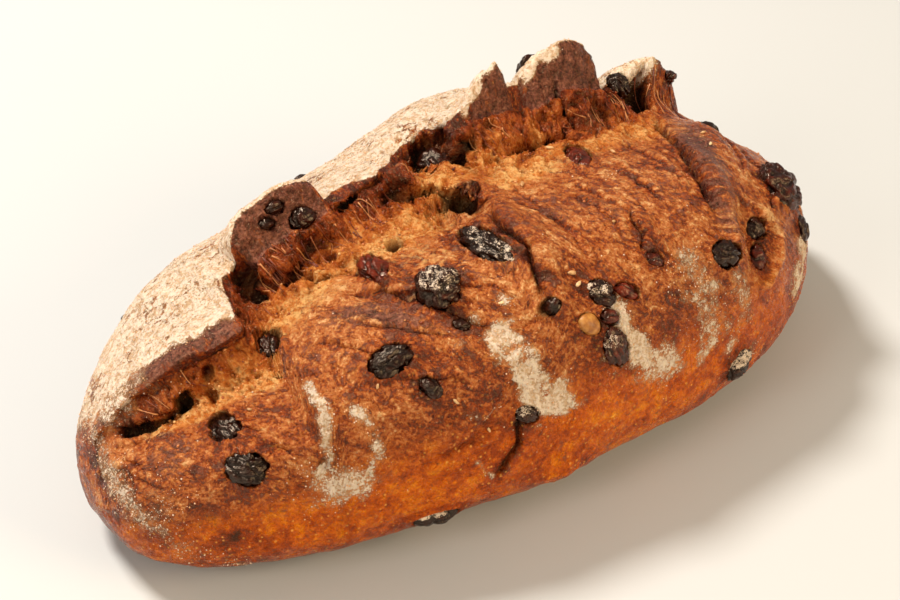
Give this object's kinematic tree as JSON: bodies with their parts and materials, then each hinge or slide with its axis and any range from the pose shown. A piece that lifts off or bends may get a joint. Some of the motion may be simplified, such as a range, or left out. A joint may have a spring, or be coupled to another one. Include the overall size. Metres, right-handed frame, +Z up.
{
  "type": "raisin bread loaf",
  "caption": "Rustic oval bread loaf with raisins, slashed along the top, with torn floured ears and a kernel in the crust.",
  "frame": {"origin": "on the floor, below the middle of the loaf's bounding box", "axes": "+X along the loaf towards its slim end, -Y towards the front that the picture shows, +Z up"},
  "size_m": [0.25, 0.1306, 0.0927],
  "materials": {
    "crust": "baked crust, matt, orange-brown to dark brown, dusted with flour",
    "raisin": "dried grape, wrinkled, half glossy, purple-black",
    "kernel": "pale kernel, smooth, tan"
  },
  "bodies": {
    "root": {"loaf": "crust", "raisin_01": "raisin", "raisin_02": "raisin", "raisin_03": "raisin", "raisin_04": "raisin", "raisin_05": "raisin", "raisin_06": "raisin", "raisin_07": "raisin", "raisin_08": "raisin", "raisin_09": "raisin", "raisin_10": "raisin", "raisin_11": "raisin", "raisin_12": "raisin", "raisin_13": "raisin", "raisin_14": "raisin", "raisin_15": "raisin", "raisin_16": "raisin", "raisin_17": "raisin", "raisin_18": "raisin", "raisin_19": "raisin", "raisin_20": "raisin", "raisin_21": "raisin", "raisin_22": "raisin", "raisin_23": "raisin", "raisin_24": "raisin", "raisin_25": "raisin", "raisin_26": "raisin", "raisin_27": "raisin", "raisin_28": "raisin", "raisin_29": "raisin", "raisin_30": "raisin", "raisin_31": "raisin", "raisin_32": "raisin", "raisin_33": "raisin", "raisin_34": "raisin", "raisin_35": "raisin", "raisin_36": "raisin", "raisin_37": "raisin", "raisin_38": "raisin", "kernel": "kernel"}
  },
  "joints": []
}
